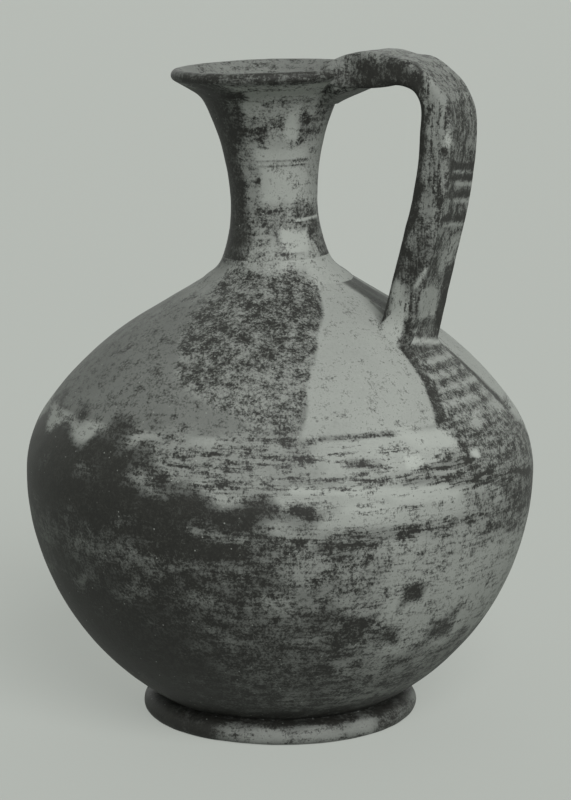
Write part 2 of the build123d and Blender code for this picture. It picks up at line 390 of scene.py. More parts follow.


# Body: two thrown halves joined at the girth while leather-hard, thin-walled and round, with a flat floor.
# Dark slip was brushed on the pale clay as it turned: belts below, a wedge and a ladder on the shoulder,
# and bare panels between them. Much of it has flaked off since. Some darkening is painted shade: the
# lowest belt by the foot, and a painted shadow of the handle on the shoulder.
belly_radius = 95.0
belly_height = 93.7
haunch_arc_radius = 39.5
haunch_turn = 35.0
shoulder_arc_radius = 124.0
shoulder_slope = 31.6
body_wall = 5.5
floor_thickness = 6.5
foot_recess = 3.5
shoulder_hole_radius = 17.0
inside_spacing = 3.5
seat_inset = belly_radius - bowl_seat_radius
seat_drop = belly_height - foot_height
lower_arc_radius = (seat_inset**2 + seat_drop**2) / (2 * seat_inset)
lower_centre = (belly_radius - lower_arc_radius, belly_height)
haunch_centre = (belly_radius - haunch_arc_radius, belly_height)
shoulder_reach = haunch_arc_radius - shoulder_arc_radius
shoulder_centre = (
    haunch_centre[0] + shoulder_reach * cos(radians(haunch_turn)),
    haunch_centre[1] + shoulder_reach * sin(radians(haunch_turn)),
)
shoulder_turn = 90.0 - shoulder_slope


def shoulder_height(radius, inset=0.0):
    """Height of the straight upper shoulder at a radius, on the skin or inside the wall."""
    start = arc(shoulder_centre, shoulder_arc_radius - inset, shoulder_turn, shoulder_turn)[0]
    return start[1] + (start[0] - radius) * tan(radians(shoulder_slope))


def body_side(bottom, inset, spacing):
    """One skin of the body, from a flat bottom up to the hole under the neck."""
    low = -degrees(asin((belly_height - bottom) / (lower_arc_radius - inset)))
    lower = arc(lower_centre, lower_arc_radius - inset, low, 0, spacing)
    haunch = arc(haunch_centre, haunch_arc_radius - inset, 0, haunch_turn, spacing)
    shoulder = arc(shoulder_centre, shoulder_arc_radius - inset, haunch_turn, shoulder_turn, spacing)
    rim = (shoulder_hole_radius, shoulder_height(shoulder_hole_radius, inset))
    return outline(
        straight((0, bottom), lower[0], 3 * skin_spacing), lower, haunch, shoulder,
        straight(shoulder[-1], rim, spacing),
    )


body_skin = body_side(foot_recess, 0, skin_spacing)
body_inside = body_side(foot_recess + floor_thickness, body_wall, inside_spacing)
body = throw("body_whole", outline(body_skin, body_inside[::-1]))
handle_wet(body, size=60, depth=0.8, keep=0.95)
handle_wet(body, size=11, depth=0.2)

skin = thrown_skin(body, 0.5, 0.3, darker_inside)
both_sides = folded(skin)
for band in (
    # The lowest belt, by the foot, is partly dark slip and partly painted shade under the belly.
    (-5, 17, 5, 0.88, 0.62, 0.6),
    (17, 48, 8, 0.54, 0.32, 0.4),
    (48, 85, 8, 0.46, 0.22, 0.35),
    (85, 91, 3, 0.55, 0.22, 0.7),
    (91, 104, 4, 0.24, 0.04, 0.6),
    (104, 109, 2.5, 0.42, 0.1, 0.9),
    (109, 121, 1.2, 0.18, 0.03, 0.8),
    (121, 200, 1.2, 0.33, 0.39, 0.15),
):
    belt(both_sides, *band)
brush_areas(both_sides, [
    ([(-181, 112), (-100, 113), (-86, 106), (-68, 100), (-60, 92), (-80, 82), (-181, 80)],
     17, 0.96, 1.0, 0.3),
    ([(-181, 84), (-84, 84), (-60, 91), (-56, 70), (-72, 62), (-181, 62)], 9, 0.64, 0.42, 0.3),
    ([(-181, 68), (-76, 66), (-66, 42), (-66, 12), (-181, 12)], 22, 0.84, 0.95, 0.3),
    ([(-78, 64), (-48, 60), (-44, 20), (-78, 16)], 18, 0.64, 0.54, 0.3),
    ([(-100, 121), (-52, 122), (-54, 104), (-84, 107)], 5, 0.46, 0.22, 0.7),
    ([(-140, 114), (-112, 115), (-114, 103), (-140, 103)], 9, 1.0, 1.0, 0.2),
    ([(-109, 119), (-92, 118), (-93, 110), (-108, 110)], 8, 0.9, 0.95, 0.2),
    ([(-181, 172), (-120, 172), (-118, 160), (-181, 156)], 8, 0.18, 0.26, 0.1),
    ([(-112, 168), (-27, 165), (-43, 153), (-48, 145), (-52, 136), (-55, 122), (-72, 127), (-93, 138),
      (-102, 151), (-114, 163)], 2.0, 0.53, 0.17, 0.15),
    ([(-112, 167), (-28, 164), (-43, 154), (-49, 150), (-66, 141), (-92, 139), (-101, 151), (-113, 163)],
     4.0, 0.65, 0.15, 0.15),
    ([(-26, 168), (-43, 153), (-48, 145), (-52, 136), (-55, 121.4), (-19, 121.4), (-15, 130), (-13, 140),
      (-6, 150), (1, 160), (1, 168)], 1.2, 0.12, 0.08, 0.1),
])
ladder_ground = [(-13, 146), (-15, 134), (-18, 121), (-10, 115), (17, 115), (17, 122), (13, 134), (11, 146)]
area(skin, ladder_ground, 1.5, 0.30, 0.08, 0.2)
left_rail = [(-11.5, 146), (-12.5, 140), (-13, 134), (-15, 128), (-17, 121)]
right_rail = [(10.5, 146), (12, 137), (13.5, 128), (16.5, 120), (15.5, 115)]
ladder_soft = 1.2
stroke(skin, left_rail, 4.4, ladder_soft, 0.80, 0.35, 0.1)
stroke(skin, right_rail, 2.4, ladder_soft, 0.95, 0.6, 0.1)
for rung_height in (141.8, 137.7, 133.5, 129.3, 124.8):
    stroke(skin, [(-12, rung_height), (12, rung_height)], 2.2, ladder_soft, 0.64, 0.22, 0.1)
stroke(skin, [(-50, 120.8), (-38, 121.2), (-24, 121)], 1.0, 1.2, 0.75, 0.3, 0.5)
brush_areas(skin, [
    ([(-38, 84), (24, 84), (24, 40), (-34, 40)], 12, 0.27, 0.1, 0.4),
    ([(-16, 121), (17, 120), (24, 108), (22, 94), (0, 94), (-12, 104), (-22, 110)], 5, 0.6, 0.2, 0.5),
    # Partly soot, partly a painted shadow of the handle: a soft dark smudge on the shoulder behind the
    # strap's root.
    ([(-3, 170), (24, 168), (26, 156), (6, 153)], 12, 0.36, 0.82, 0.2),
    ([(-31, 121), (-17, 121), (-15, 115), (-26, 114)], 2.5, 0.02, -0.12, 0.1),
    ([(-31, 114), (-27, 114), (-26.5, 110.5), (-30.5, 110.5)], 1.2, 0.0, -0.3, 0.0),
    ([(-12, 112), (-9.5, 112), (-9.5, 109.5), (-12, 109.5)], 1.2, 0.0, -0.3, 0.0),
    ([(-58, 101), (-53, 101), (-53, 96), (-58, 96)], 3, 0.95, 0.5, 0.1),
    ([(-14, 98), (24, 98), (24, 78), (-12, 78)], 8, 0.52, 0.2, 0.4),
    ([(0, 94), (22, 96), (24, 84), (-2, 84)], 5, 0.7, 0.25, 0.4),
    ([(-36, 86), (-14, 84), (-12, 72), (-34, 72)], 7, 0.36, 0.12, 0.4),
    ([(-31, 67), (-25.5, 67), (-25.5, 61), (-31, 61)], 2.5, 0.9, 0.45, 0.1),
    ([(-50, 53), (-32, 52), (-30, 47), (-46, 46)], 4, 0.8, 0.4, 0.2),
    ([(-22, 53), (-13, 52), (-12, 44), (-20, 44)], 4, 0.8, 0.4, 0.2),
    ([(-44, 58), (-38, 58), (-38, 53), (-44, 53)], 3, 0.85, 0.45, 0.2),
])
for route, width, *layer in (
    ([(-27, 109), (-12, 109)], 2.4, 0.75, 0.3, 1.0),
    ([(-31, 105), (-14, 103), (14, 97)], 4.2, 0.74, 0.25, 1.0),
    ([(-62, 107), (-49, 106)], 2.4, 0.72, 0.2, 1.0),
    ([(-44, 113), (-38, 112)], 3.4, 0.66, 0.2, 0.6),
    ([(-63, 121), (-56, 120)], 3.4, 0.62, 0.2, 0.6),
    ([(-57, 105), (-22, 102)], 2.4, 0.05, -0.1, 0.9),
    ([(-34, 101), (-20, 99)], 3.6, 0.03, -0.1, 0.8),
    ([(-45, 98), (-36, 97)], 3.2, 0.08, -0.05, 0.8),
    ([(-44, 89), (-31, 88)], 4.2, 0.68, 0.3, 0.8),
    ([(-49, 86), (-40, 85.5)], 1.6, 0.9, 0.4, 0.9),
    ([(-49, 82), (-45, 82)], 2.0, 0.85, 0.4, 0.9),
    ([(-90, 84), (-70, 83)], 6.5, 0.95, 0.75, 0.4),
    ([(-78, 90), (-68, 88)], 3.0, 0.5, 0.3, 0.5),
):
    stroke(skin, route, width, 1.8, *layer)
record_wear(body, skin)


def take(piece):
    """Takes one piece in hand for the next steps."""
    bpy.ops.object.select_all(action="DESELECT")
    piece.select_set(True)
    bpy.context.view_layer.objects.active = piece


shading = vectors_of(body.data.vertex_normals, "vector")
skin_normal = body.data.attributes.new("skin_normal", "FLOAT_VECTOR", "POINT")
skin_normal.data.foreach_set("vector", shading.ravel())
take(body)
bpy.ops.object.mode_set(mode="EDIT")
bpy.ops.mesh.select_mode(type="FACE")
bpy.ops.mesh.select_all(action="DESELECT")
bpy.ops.object.mode_set(mode="OBJECT")
middles = vectors_of(body.data.polygons, "center")
body.data.polygons.foreach_set("select", middles[:, 2] > belly_height * MM)
bpy.ops.object.mode_set(mode="EDIT")
bpy.ops.mesh.separate(type="SELECTED")
bpy.ops.object.mode_set(mode="OBJECT")
halves = sorted(bpy.context.selected_objects, key=lambda half: half.bound_box[6][2])
body_slip = worn_slip("body_slip", turning_streaks)
for half, name, node in zip(halves, ("bowl_lower_half", "bowl_upper_half"), ("lower_body", "upper_body")):
    half.name = half.data.name = name
    take(half)
    bpy.ops.object.mode_set(mode="EDIT")
    bpy.ops.mesh.select_mode(type="EDGE")
    bpy.ops.mesh.select_all(action="DESELECT")
    bpy.ops.mesh.select_non_manifold(
        extend=False, use_boundary=True, use_wire=False, use_multi_face=False, use_non_contiguous=False,
        use_verts=False,
    )
    bpy.ops.mesh.bridge_edge_loops()
    bpy.ops.mesh.select_all(action="SELECT")
    bpy.ops.mesh.normals_make_consistent(inside=False)
    bpy.ops.object.mode_set(mode="OBJECT")
    bpy.ops.object.shade_smooth()
    kept = vectors_of(half.data.attributes["skin_normal"].data, "vector")
    half.data.normals_split_custom_set_from_vertices(kept.tolist())
    half.data.attributes.remove(half.data.attributes["skin_normal"])
    dress(half, body_slip, node)


# Neck and lip: thrown by themselves, drawn in at the throat and flared to a round lip, and set on the
# shoulder slightly askew. Brushed with the same slip in bands, with a zone left bare at the middle.
# Its side away from the handle, and the coil below it, are darkened with painted shade.
neck_lean = 1.8
neck_lean_direction = 210.0
neck_pivot_depth = 58.4
neck_wall = 4.4
throat_radius = 16.1
throat_rise = 10.6
throat_upper_arc = 86.0
throat_lower_arc = 57.0
flare_rise = 36.6
flare_arc_radius = 11.0
lip_slope = 32.0
lip_run = 8.1
coil_fillet_radius = 12.0
coil_depth = 1.6
neck_bedding = 6.0
neck_spacing = 0.65
neck_steps = 360
neck_pivot_height = shoulder_height(0) - neck_pivot_depth
throat_z = neck_pivot_depth + throat_rise


def ahead(start, heading, distance):
    """The point at a distance from a start, at a heading in degrees above the level."""
    return (start[0] + distance * cos(radians(heading)), start[1] + distance * sin(radians(heading)))


upper_centre = (throat_radius + throat_upper_arc, throat_z)
base_centre = (throat_radius + throat_lower_arc, throat_z)
flare_entry = degrees(asin(flare_rise / throat_upper_arc))
flare_centre = ahead(upper_centre, 180 - flare_entry, throat_upper_arc - flare_arc_radius)
flare_exit = 90.0 - lip_slope
flare_end = ahead(flare_centre, 180 - flare_exit, flare_arc_radius)
lip_under = ahead(flare_end, lip_slope, lip_run)
lip_middle = ahead(lip_under, lip_slope + 90, neck_wall / 2)
cone_slope = tan(radians(shoulder_slope))
fillet_reach = throat_lower_arc - coil_fillet_radius
fillet_peak = neck_pivot_depth + coil_fillet_radius / cos(radians(shoulder_slope))
fillet_rise = fillet_peak - base_centre[1] - cone_slope * base_centre[0]
fillet_root = sqrt(fillet_reach**2 * (1 + cone_slope**2) - fillet_rise**2)
fillet_x = base_centre[0] + (cone_slope * fillet_rise - fillet_root) / (1 + cone_slope**2)
fillet_centre = (fillet_x, fillet_peak - cone_slope * fillet_x)
coil_top_turn = degrees(asin((base_centre[1] - fillet_centre[1]) / fillet_reach))


def neck_side(inset, spacing):
    """One side of the neck's wall, from its foot up to the lip."""
    lower = arc(base_centre, throat_lower_arc + inset, 180 + coil_top_turn, 180, spacing)
    upper = arc(upper_centre, throat_upper_arc + inset, 180, 180 - flare_entry, spacing)
    flare = arc(flare_centre, flare_arc_radius + inset, 180 - flare_entry, 180 - flare_exit, spacing)
    sunk = (lower[0][0], lower[0][1] - neck_bedding)
    return outline([sunk], lower, upper, flare)


neck_skin = neck_side(0, neck_spacing)
neck_bore = neck_side(neck_wall, 2 * neck_spacing)
lip = arc(lip_middle, neck_wall / 2, lip_slope - 90, lip_slope + 90, 0.5)
neck_ring = outline(neck_skin, straight(neck_skin[-1], lip[0], neck_spacing), lip, neck_bore[::-1])
neck = throw("neck_thrown", neck_ring + [neck_ring[0]], neck_steps)


def lean(piece):
    """Sets a piece of the neck on its leaning axis, with its place in its mesh."""
    tilt, toward = radians(neck_lean), radians(neck_lean_direction)
    take(piece)
    piece.rotation_mode = "AXIS_ANGLE"
    piece.rotation_axis_angle = (tilt, -sin(toward), cos(toward), 0)
    piece.location = (0, 0, neck_pivot_height * MM)
    bpy.ops.object.transform_apply(location=True, rotation=True, scale=True)
    piece.rotation_mode = "XYZ"


pale_mouth = {"cover": 0.36, "soot": 0.34, "drag": 0.4}
skin = thrown_skin(neck, 0.5, 0.2, pale_mouth)
both_sides = folded(skin)
for band in (
    (40, 57, 5, 0.33, 0.1, 0.2),
    (57, 69, 5, 0.5, 0.15, 0.3),
    (69, 91, 4, 0.19, 0.04, 0.2),
    (91, 108, 5, 0.45, 0.14, 0.4),
    (108, 114.5, 3, 0.22, 0.04, 0.5),
    (114.5, 130, 1.5, 0.7, 0.42, 0.5),
):
    belt(both_sides, *band)
brush_areas(both_sides, [
    # Painted shade: slip and soot darken the neck's side away from the handle, with a half-dark strip at
    # its edge.
    ([(-181, 114), (-100, 114), (-90, 92), (-96, 70), (-98, 44), (-181, 44)], 5, 0.84, 0.62, 0.3),
    ([(-104, 92), (-78, 92), (-76, 70), (-100, 70)], 4, 0.46, 0.22, 0.3),
])
brush_areas(skin, [
    ([(-96, 113), (-78, 112), (-84, 101), (-100, 101)], 3, 0.75, 0.4, 0.3),
    ([(-84, 108), (-64, 108), (-64, 103), (-84, 103)], 3, 0.25, 0.05, 0.3),
    ([(-46, 104), (-36, 104), (-34, 94), (-44, 94)], 3, 0.22, 0.0, 0.2),
    ([(-86, 100), (-62, 100), (-62, 92), (-86, 92)], 3, 0.66, 0.25, 0.3),
    ([(-30, 101), (-10, 101), (-8, 93), (-26, 93)], 3, 0.7, 0.25, 0.3),
    ([(-30, 69), (20, 69), (22, 57), (-28, 58)], 3, 0.62, 0.34, 0.3),
    ([(-92, 69), (-50, 69), (-50, 60), (-92, 60)], 5, 0.56, 0.26, 0.3),
    ([(-50, 60), (-16, 60), (-16, 52), (-50, 52)], 3, 0.06, -0.06, 0.1),
    ([(-6, 56), (26, 56), (26, 48), (-6, 48)], 3, 0.7, 0.3, 0.3),
    ([(-18, 92), (40, 92), (40, 70), (-14, 70)], 6, 0.3, 0.14, 0.3),
    ([(60, 90), (110, 90), (110, 60), (60, 60)], 6, 0.3, 0.1, 0.3),
])
for route, width, *layer in (
    ([(-78, 85.4), (-14, 85.4)], 0.6, 0.6, 0.3, 0.1),
    ([(-78, 83.6), (-14, 83.6)], 0.6, 0.55, 0.3, 0.1),
    ([(-30, 63.4), (14, 63.8)], 0.8, 0.02, -0.15, 0.0),
    ([(-54, 51.6), (-26, 51.6)], 0.6, 0.7, 0.3, 0.1),
    ([(-79.5, 78.7), (-77.5, 78.7)], 1.0, 1.2, 1.0, 0.0),
):
    stroke(skin, route, width, 0.7, *layer)
record_wear(neck, skin)
lean(neck)
handle_wet(neck, size=40, depth=0.6, keep=0.5)
handle_wet(neck, size=9, depth=0.25)
neck_slip = worn_slip("neck_slip", turning_streaks)
dress(neck, neck_slip, "neck")


# Neck luting coil: a thin roll of soft clay pressed into the corner of neck and shoulder and wiped
# hollow with a wet finger, so that the neck runs down into the body in one curve.
coil_edge_sink = 2.0
coil_feather_run = 6.0
coil_feather_rows = 8
coil_face = arc(fillet_centre, coil_fillet_radius, 180 + coil_top_turn, 270 - shoulder_slope, 0.6)
coil_top, coil_toe = coil_face[0], coil_face[-1]
coil_feather = [
    (coil_toe[0] + run, coil_toe[1] - run * cone_slope - coil_edge_sink * (run / coil_feather_run) ** 2)
    for run in np.linspace(0, coil_feather_run, coil_feather_rows + 1)
]
coil_wall = outline(
    coil_face,
    coil_feather,
    [(coil_top[0] - coil_depth, coil_feather[-1][1])],
    [(coil_top[0] - coil_depth, coil_top[1])],
)
coil = throw("neck_coil_wiped", coil_wall + [coil_wall[0]], neck_steps)
skin = thrown_skin(coil, 0.30, 0.08, darker_inside)
brush_areas(folded(skin), [
    # Painted shade: the coil's side away from the handle is laid dark, below the neck's painted shade.
    ([(-181, 60), (-104, 60), (-98, 47), (-181, 47)], 5, 0.72, 0.45, 0.3),
    ([(-60, 60), (-20, 60), (-16, 47), (-56, 47)], 5, 0.16, 0.0, 0.2),
    ([(-181, 47), (-114, 47), (-114, 30), (-181, 30)], 5, 0.22, 0.26, 0.1),
    ([(-112, 46), (-30, 46), (-30, 30), (-112, 30)], 4, 0.6, 0.15, 0.2),
    ([(-26, 50), (1, 50), (1, 30), (-26, 30)], 4, 0.1, 0.03, 0.1),
])
record_wear(coil, skin)
lean(coil)
dress(coil, neck_slip, "neck_luting_coil")


# Handle: a strap of clay pulled by hand, thick and round-edged, bent from the lip over to the shoulder.
# Its outer face carries a ladder of slip between two rails, and thumbs have rubbed the sides pale.
# Its inner face, the fold at the bend and a small pit are darkened with painted shade.
handle_inset = 26.0
handle_rise = 1.0
bend_radius = 19.5
arm_rise = 7.0
lip_to_arm = 5.0
drop_arc_radius = 140.0
drop_lean = 14.5
strap_width = 23.0
strap_thickness = 11.8
strap_side_flat = 2.0
bend_thinning = 2.5
root_width = 26.0
root_thickness = 13.6
nose_length = 7.5
nose_dip = 11.0
tip_length = 5.7
tip_dip = 32.0
nose_spread = 6.5
nose_spread_start = 16.5
nose_spread_run = 9.5
nose_thinning = 5.8
nose_thinning_start = 14.0
nose_thinning_run = 12.0
tip_narrowing = 4.0
tip_narrowing_run = 5.0
tip_bury = 2.2
root_sink = 10.0
strap_spacing = 0.9
strap_mm_per_degree = 0.18
corner_segments = 10
face_cuts = 16
long_edge = 3.0
same_row = 0.01
arm_hump = (0.75, 19.0, 4.5)
bend_dip = (1.45, 30.5, 4.0)
arm_fullness = (1.0, 26.0, 10.0)
bend_hollow = (1.3, 48.0, 8.0)
fold_ridge = (0.8, 47.5, 3.0)
fold_groove = (0.8, 43.0, 2.5)
tilt = radians(neck_lean) * cos(radians(neck_lean_direction))
lip_crest = ahead(lip_under, lip_slope + 90, neck_wall)
lip_at_handle = (
    lip_crest[0] * cos(tilt) + lip_crest[1] * sin(tilt),
    neck_pivot_height + lip_crest[1] * cos(tilt) - lip_crest[0] * sin(tilt),
)
handle_reach = belly_radius - handle_inset
bend_centre = (handle_reach - bend_radius, lip_at_handle[1] + handle_rise - bend_radius)
drop_centre = (handle_reach - drop_arc_radius, bend_centre[1])
drop_heading = -90.0 - drop_lean
arm_end = ahead(bend_centre, 90 + arm_rise, bend_radius)
arm_length = (arm_end[0] - lip_at_handle[0] - lip_to_arm) / cos(radians(arm_rise))
arm_start = ahead(arm_end, 180 + arm_rise, arm_length)
drop_end = ahead(drop_centre, -drop_lean, drop_arc_radius)
nose = ahead(arm_start, 180 + nose_dip, nose_length)
tip = ahead(nose, 180 + (nose_dip + tip_dip) / 2, tip_length)
buried_tip = (tip[0], tip[1] - tip_bury)


def straight_drop():
    """How far below the drop arc the strap's line meets the shoulder arc."""
    offset = (shoulder_centre[0] - drop_end[0], shoulder_centre[1] - drop_end[1])
    along = offset[0] * cos(radians(drop_heading)) + offset[1] * sin(radians(drop_heading))
    miss = np.hypot(offset[0], offset[1]) ** 2 - along**2
    return along - sqrt(shoulder_arc_radius**2 - miss)


handle_root = ahead(drop_end, drop_heading, straight_drop())
line = outline(
    straight(buried_tip, nose, strap_spacing),
    straight(nose, arm_start, strap_spacing),
    straight(arm_start, arm_end, strap_spacing),
    arc(bend_centre, bend_radius, 90 + arm_rise, 0, strap_spacing),
    arc(drop_centre, drop_arc_radius, 0, -drop_lean, strap_spacing),
    straight(drop_end, ahead(handle_root, drop_heading, root_sink), strap_spacing),
)
line_length = sum(np.hypot(b[0] - a[0], b[1] - a[1]) for a, b in zip(line, line[1:]))
root_along = line_length - root_sink
bend_length = bend_radius * radians(90 + arm_rise)
end_length = nose_length + tip_length
strap_length = (
    arm_length + bend_length + drop_arc_radius * radians(drop_lean) + straight_drop() + root_thickness
)


def ease(share):
    """A smooth step from 0 to 1."""
    share = min(max(share, 0), 1)
    return share**2 * (3 - 2 * share)


def swell(along, height, place, reach):
    """A soft rise from 0 to a height and back about a place along the strap."""
    return height * exp(-(((along - place) / reach) ** 2))


def top_swell(along):
    """How far the outer face stands off the drawn line: a hump on the arm and a dip at the bend."""
    return swell(along, *arm_hump) - swell(along, *bend_dip)


def under_swell(along):
    """The same for its inner face: full under the arm, and drawn in round the bend."""
    return swell(along, *arm_fullness) - swell(along, *bend_hollow)


def strap_middle(along):
    """How far the middle of the strap's section lies off its drawn line."""
    return (top_swell(along) - under_swell(along)) / 2


def strap_size(along):
    """The strap's width and thickness at a distance from its tip, spread thin where it meets the lip."""
    share = max(along - end_length, 0) / strap_length
    pinch = sin(pi * min(max((along - end_length - arm_length) / bend_length, 0), 1)) ** 2
    fold = swell(along, *fold_ridge) - swell(along, *fold_groove)
    spread = nose_spread * ease((nose_spread_start - along) / nose_spread_run)
    spread -= tip_narrowing * ease((tip_narrowing_run - along) / tip_narrowing_run)
    thinning = pinch * bend_thinning
    thinning += nose_thinning * ease((nose_thinning_start - along) / nose_thinning_run)
    thickness = strap_thickness + share * (root_thickness - strap_thickness) - thinning
    return (
        strap_width + share * (root_width - strap_width) + fold + spread,
        thickness + top_swell(along) + under_swell(along),
    )


def rounded_bar(name, width, thickness):
    """A flat ring with the strap's rounded section, at the start of a straight bar along +X."""
    bpy.ops.mesh.primitive_plane_add(size=1, rotation=(0, radians(90), 0))
    bar = bpy.context.object
    bar.name = bar.data.name = name
    bpy.ops.object.transform_apply(location=False, rotation=True, scale=False)
    bar.scale = (1, thickness * MM, width * MM)
    bpy.ops.object.transform_apply(location=False, rotation=False, scale=True)
    bpy.ops.object.mode_set(mode="EDIT")
    bpy.ops.mesh.select_mode(type="VERT")
    bpy.ops.mesh.select_all(action="SELECT")
    corner = (thickness - strap_side_flat) / 2
    bpy.ops.mesh.bevel(
        offset=corner * MM, offset_type="OFFSET", segments=corner_segments, affect="VERTICES"
    )
    bpy.ops.mesh.delete(type="ONLY_FACE")
    bpy.ops.object.mode_set(mode="OBJECT")
    spots = bar.data.vertices
    for edge in bar.data.edges:
        edge.select = (spots[edge.vertices[0]].co - spots[edge.vertices[1]].co).length > long_edge * MM
    bpy.ops.object.mode_set(mode="EDIT")
    bpy.ops.mesh.select_mode(type="EDGE")
    bpy.ops.mesh.subdivide(number_cuts=face_cuts)
    bpy.ops.mesh.select_all(action="SELECT")
    return bar


def draw_out(distance, thicker, wider, from_out, to_out):
    """Draws the open end of a bar further along, with its middle moved out and its section resized."""
    step = (distance * MM, (to_out - from_out) * MM, 0)
    bpy.ops.mesh.extrude_region_move(TRANSFORM_OT_translate={"value": step})
    bpy.ops.transform.resize(value=(1, thicker, wider), center_override=(0, to_out * MM, 0))


def close_bar(bar):
    """Shuts both ends of a bar and turns its faces outwards."""
    bpy.ops.mesh.edge_face_add()
    bpy.ops.object.mode_set(mode="OBJECT")
    along = spots_of(bar)[0]
    bpy.ops.object.mode_set(mode="EDIT")
    bpy.ops.mesh.select_mode(type="VERT")
    bpy.ops.mesh.select_all(action="DESELECT")
    bpy.ops.object.mode_set(mode="OBJECT")
    bar.data.vertices.foreach_set("select", np.abs(along - along[0]) < same_row)
    bpy.ops.object.mode_set(mode="EDIT")
    bpy.ops.mesh.edge_face_add()
    bpy.ops.mesh.select_all(action="SELECT")
    bpy.ops.mesh.normals_make_consistent(inside=False)
    bpy.ops.object.mode_set(mode="OBJECT")
    bpy.ops.object.shade_smooth()


def bend(piece):
    """Bends a straight bar along the handle's line and stands it up in the plane of the handle."""
    path = bpy.data.curves.new("handle_line", "CURVE")
    path.dimensions = "3D"
    path.twist_mode = "Z_UP"
    run = path.splines.new("POLY")
    run.points.add(len(line) - 1)
    for knot, (x, z) in zip(run.points, line):
        knot.co = (x * MM, z * MM, 0, 1)
    rail = bpy.data.objects.new("handle_line", path)
    bpy.context.scene.collection.objects.link(rail)
    follow = piece.modifiers.new("follow", "CURVE")
    follow.object = rail
    take(piece)
    bpy.ops.object.modifier_apply(modifier=follow.name)
    bpy.data.objects.remove(rail)
    bpy.data.curves.remove(path)
    piece.rotation_euler = (radians(90), 0, 0)
    bpy.ops.object.transform_apply(location=False, rotation=True, scale=False)


def strap_skin(piece, cover, soot):
    """The skin of a straight bar, turning from the outer face's middle at 0 to the near flank at 90."""
    along, out, across = spots_of(piece)
    width, thickness = np.array([strap_size(place) for place in along]).T
    return bare_skin(
        np.degrees(np.arctan2(across / width, out / thickness)), along, strap_mm_per_degree, cover, soot
    )


def both_flanks(corners, *layer):
    """A patch on the near flank, and the same one on the far flank."""
    return (corners, *layer), ([(-turn, along) for turn, along in corners], *layer)


strap = rounded_bar("handle_strap", *strap_size(0))
rows = ceil(line_length / strap_spacing)
stations = [line_length * i / rows for i in range(rows + 1)]
for here, there in zip(stations, stations[1:]):
    (width, thickness), (next_width, next_thickness) = strap_size(here), strap_size(there)
    thicker, wider = next_thickness / thickness, next_width / width
    draw_out(there - here, thicker, wider, strap_middle(here), strap_middle(there))
close_bar(strap)
bare_window = [(44, 116.5), (-4, 118), (-23, 130), (34, 129)]
skin = strap_skin(strap, 0.5, 0.2)
brush_areas(skin, [
    ([(-181, -5), (181, -5), (181, 18), (-181, 18)], 6, 0.5, 0.3, 0.3),
    ([(-60, 10), (60, 10), (60, 41), (-60, 41)], 8, 0.42, 0.26, 0.4),
    *both_flanks([(60, 10), (181, 10), (181, 40), (60, 40)], 8, 0.6, 0.42, 0.4),
    *both_flanks([(74, 20), (181, 14), (181, 49), (120, 49), (80, 46), (55, 42.4), (58, 34)],
                 5, 0.88, 0.66, 0.4),
    ([(-60, 41), (60, 41), (60, 52), (-60, 52)], 6, 0.4, 0.28, 0.5),
    *both_flanks([(56, 44), (84, 48), (118, 50), (118, 72), (40, 72), (40, 46)], 3, 0.36, 0.16, 0.8),
    *both_flanks([(44, 70), (118, 70), (118, 106), (44, 106)], 8, 0.54, 0.27, 0.7),
    ([(28, 100), (122, 100), (122, 122), (64, 124), (38, 128)], 6, 0.64, 0.46, 0.7),
    ([(-122, 100), (-60, 100), (-60, 128), (-122, 128)], 6, 0.64, 0.46, 0.7),
    # Painted shade: the strap's inner face, turned towards the neck, is laid dark with slip and soot.
    *both_flanks([(118, 46), (242, 46), (242, 140), (118, 140)], 4, 0.9, 0.64, 0.5),
    ([(-44, 54), (40, 54), (36, 104), (-44, 104)], 6, 0.58, 0.26, 0.5),
    ([(-40, 99), (6, 99), (2, 111), (-40, 111)], 3, 0.36, 0.12, 0.5),
    (bare_window, 1.4, 0.12, 0.12, 0.3),
    ([(70, 119), (126, 117), (126, 147), (60, 147), (64, 126)], 3, 0.16, 0.06, 0.7),
    ([(-18, 111), (-80, 109), (-80, 147), (-26, 147), (-22, 130)], 1.4, 0.94, 0.55, 0.1),
    ([(34, 129), (-23, 130), (-28, 147), (58, 147), (64, 130)], 1.6, 0.72, 0.38, 0.2),
])
for rung_along in (73.3, 77.1, 83.0, 91.5):
    stroke(skin, [(-44, rung_along + 1.7), (30, rung_along)], 2.4, ladder_soft, 0.92, 0.5, 0.2)
    stroke(skin, [(-44, rung_along + 4.0), (26, rung_along + 2.3)], 1.5, ladder_soft, 0.24, 0.1, 0.2)
light_bars = ([(-33, 136.0), (35, 133.4)], [(-38, 142.0), (21, 139.6)])
for bar in light_bars:
    stroke(skin, bar, 1.5, 1.0, 0.10, 0.0, 0.2)
for route, width, *layer in (
    # Painted shade: a dark line along the fold at the bend, on the shaded side of its ridge.
    ([(34, 38), (53, 42.6), (78, 46)], 0.9, 1.0, 0.9, 0.1),
    ([(46, 63.8), (46, 64.6)], 3.2, 0.1, -0.1, 0.2),
    ([(37, 71.4), (13, 90)], 1.0, 0.85, 0.6, 0.1),
    # Painted shade: a dark dot for the shade in a small pit beside the pale patch.
    ([(53, 68.0), (55, 68.0)], 1.5, 1.3, 1.0, 0.0),
    ([(46, 110), (60, 117)], 1.4, 0.1, 0.0, 0.4),
):
    stroke(skin, route, width, 1.4, *layer)
record_wear(strap, skin)
bend(strap)
handle_wet(strap, size=30, depth=0.8, keep=0.7)
handle_wet(strap, size=8, depth=0.3)
drawn_streaks = (1.0, 1.0, 0.15)
handle_slip = worn_slip("handle_slip", drawn_streaks)
dress(strap, handle_slip, "handle")


